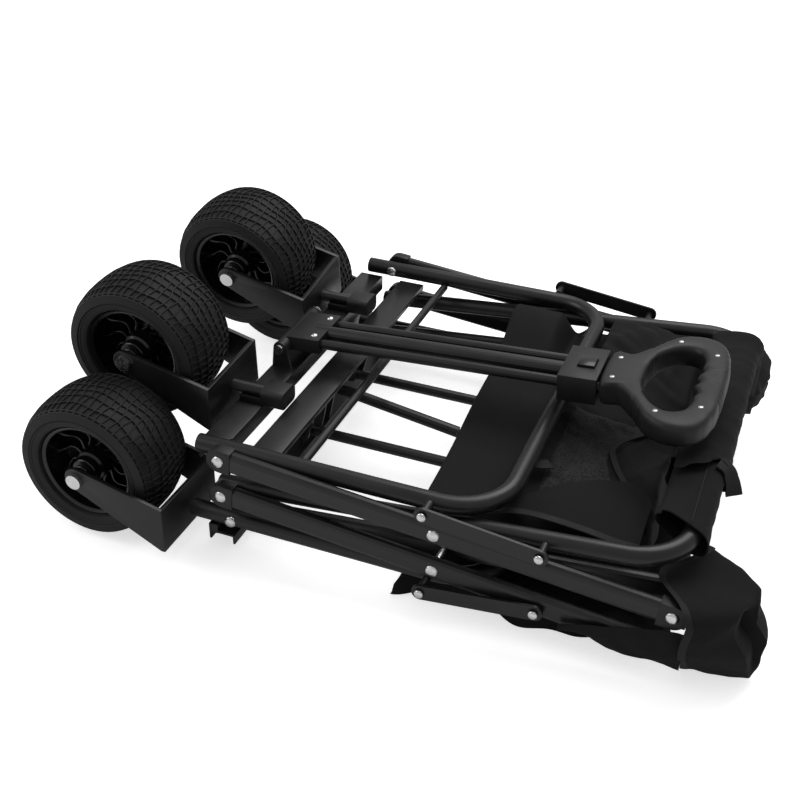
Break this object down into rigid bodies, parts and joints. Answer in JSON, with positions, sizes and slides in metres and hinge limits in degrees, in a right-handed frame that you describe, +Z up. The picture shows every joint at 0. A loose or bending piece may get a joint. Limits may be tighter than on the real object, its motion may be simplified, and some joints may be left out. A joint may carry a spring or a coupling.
{
  "type": "folding wagon with pull handle",
  "caption": "Folding wagon with a telescoping pull handle, swivel front wheels, scissor side arms and a fabric tub, folded flat.",
  "frame": {"origin": "centre of the underside of the folded wagon, on the floor", "axes": "+X from the wheels to the top rim, +Y to the wagon's left, +Z up from the floor, the way the front end faces when folded"},
  "size_m": [0.8138, 0.5986, 0.2706],
  "materials": {
    "paint": "satin",
    "plastic": "matte",
    "gloss_plastic": "glossy",
    "tyre": "matte",
    "steel": "polished",
    "fabric": "woven"
  },
  "bodies": {
    "rear_frame": {"rear_hoop": "paint", "rear_crossbar": "paint", "rear_fork_right": "paint", "rear_fork_left": "paint", "rear_axle_right": "steel", "rear_axle_left": "steel", "fabric_base": "fabric"},
    "inner_arms": {"inner_arm_right": "paint", "inner_arm_left": "paint"},
    "rear_arms": {"rear_arm_right": "paint", "rear_arm_left": "paint", "rear_arm_cap_right": "plastic", "rear_arm_cap_left": "plastic", "rear_cross_rivet_right": "steel", "rear_cross_rivet_left": "steel"},
    "upper_hoop": {"upper_hoop": "paint", "fabric_sleeve": "fabric"},
    "front_arms": {"front_arm_right": "paint", "front_arm_left": "paint", "front_arm_cap_right": "plastic", "front_arm_cap_left": "plastic", "front_cross_rivet_right": "steel", "front_cross_rivet_left": "steel", "front_foot_rivet_right": "steel", "front_foot_rivet_left": "steel", "corner_pocket_right": "fabric", "corner_pocket_left": "fabric"},
    "front_frame": {"front_hoop": "paint", "front_cross_plate": "paint", "front_crossbar": "paint", "front_brace_rod": "paint", "swivel_housing_right": "plastic", "swivel_housing_left": "plastic", "handle_pivot_pin": "steel"},
    "front_links": {"front_link_right": "paint", "front_link_left": "paint"},
    "rear_links": {"rear_link_right": "paint", "rear_link_left": "paint"},
    "floor_frame": {"floor_frame": "paint", "fabric_pack": "fabric"},
    "floor_strut": {"floor_strut": "paint"},
    "rear_wheel_right": {"rear_tyre_right": "tyre", "rear_rim_right": "gloss_plastic"},
    "rear_wheel_left": {"rear_tyre_left": "tyre", "rear_rim_left": "gloss_plastic"},
    "caster_right": {"caster_fork_right": "paint", "caster_axle_right": "steel"},
    "caster_left": {"caster_fork_left": "paint", "caster_axle_left": "steel"},
    "caster_wheel_right": {"caster_tyre_right": "tyre", "caster_rim_right": "gloss_plastic"},
    "caster_wheel_left": {"caster_tyre_left": "tyre", "caster_rim_left": "gloss_plastic"},
    "handle_lower": {"handle_yoke": "plastic", "handle_tube": "paint", "handle_lock_block": "plastic"},
    "handle_upper": {"handle_rod_right": "paint", "handle_rod_left": "paint", "handle_grip": "plastic"},
    "handle_button": {"handle_lock_button": "gloss_plastic"}
  },
  "joints": [
    {"name": "fold", "type": "hinge", "parent": "rear_frame", "child": "inner_arms", "pos_m": [-0.156, 0, 0.046], "axis": [0, -1, 0], "range_deg": [0, 40]},
    {"name": "rear_scissor", "type": "hinge", "parent": "inner_arms", "child": "rear_arms", "pos_m": [0.08591, 0, 0.069], "axis": [0, 1, 0], "range_deg": [0, 80]},
    {"name": "middle_foot", "type": "hinge", "parent": "rear_arms", "child": "upper_hoop", "pos_m": [-0.156, 0, 0.092], "axis": [0, -1, 0], "range_deg": [0, 80]},
    {"name": "front_scissor", "type": "hinge", "parent": "upper_hoop", "child": "front_arms", "pos_m": [0.08591, 0, 0.115], "axis": [0, 1, 0], "range_deg": [0, 80]},
    {"name": "front_foot", "type": "hinge", "parent": "front_arms", "child": "front_frame", "pos_m": [-0.156, 0, 0.138], "axis": [0, -1, 0], "range_deg": [0, 40]},
    {"name": "front_link_swing", "type": "hinge", "parent": "front_frame", "child": "front_links", "pos_m": [0.076, 0, 0.142], "axis": [0, 1, 0], "range_deg": [0, 73]},
    {"name": "rear_link_swing", "type": "hinge", "parent": "rear_frame", "child": "rear_links", "pos_m": [0.076, 0, 0.042], "axis": [0, -1, 0], "range_deg": [0, 73]},
    {"name": "floor_frame_swing", "type": "hinge", "parent": "front_frame", "child": "floor_frame", "pos_m": [-0.146, 0, 0.0635], "axis": [0, 1, 0], "range_deg": [0, 90]},
    {"name": "floor_strut_swing", "type": "hinge", "parent": "rear_frame", "child": "floor_strut", "pos_m": [-0.15, 0, 0.086], "axis": [0, -1, 0], "range_deg": [0, 98.5]},
    {"name": "rear_wheel_right_spin", "type": "hinge", "parent": "rear_frame", "child": "rear_wheel_right", "pos_m": [-0.318, -0.237, 0.089], "axis": [0, 1, 0], "continuous": true},
    {"name": "caster_right_swivel", "type": "hinge", "parent": "front_frame", "child": "caster_right", "pos_m": [-0.217, -0.122, 0.14], "axis": [1, 0, 0], "range_deg": [-10, 8]},
    {"name": "caster_wheel_right_spin", "type": "hinge", "parent": "caster_right", "child": "caster_wheel_right", "pos_m": [-0.318, -0.12409, 0.17995], "axis": [0, 0.9986, 0.0523], "continuous": true},
    {"name": "rear_wheel_left_spin", "type": "hinge", "parent": "rear_frame", "child": "rear_wheel_left", "pos_m": [-0.318, 0.237, 0.089], "axis": [0, 1, 0], "continuous": true},
    {"name": "caster_left_swivel", "type": "hinge", "parent": "front_frame", "child": "caster_left", "pos_m": [-0.217, 0.122, 0.14], "axis": [1, 0, 0], "range_deg": [-17, 0]},
    {"name": "caster_wheel_left_spin", "type": "hinge", "parent": "caster_left", "child": "caster_wheel_left", "pos_m": [-0.318, 0.11678, 0.17966], "axis": [0, 0.9914, 0.1305], "continuous": true},
    {"name": "handle_swing", "type": "hinge", "parent": "front_frame", "child": "handle_lower", "pos_m": [-0.189, 0, 0.155], "axis": [0, -1, 0], "range_deg": [0, 135]},
    {"name": "handle_pull", "type": "slide", "parent": "handle_lower", "child": "handle_upper", "axis": [0.9978, 0, 0.0663], "range_m": [0, 0.24]},
    {"name": "handle_button_press", "type": "slide", "parent": "handle_lower", "child": "handle_button", "axis": [0.0663, 0, -0.9978], "range_m": [0, 0.003], "stiffness_N_per_m": 300}
  ],
  "couplings": [
    {"joint": "rear_scissor", "follows": "fold", "ratio": 2},
    {"joint": "middle_foot", "follows": "fold", "ratio": 2},
    {"joint": "front_scissor", "follows": "fold", "ratio": 2},
    {"joint": "front_foot", "follows": "fold", "ratio": 1},
    {"joint": "front_link_swing", "follows": "fold", "ratio": 1.82},
    {"joint": "rear_link_swing", "follows": "fold", "ratio": 1.82},
    {"joint": "floor_frame_swing", "follows": "fold", "ratio": 2.25},
    {"joint": "floor_strut_swing", "follows": "fold", "ratio": 2.46}
  ]
}
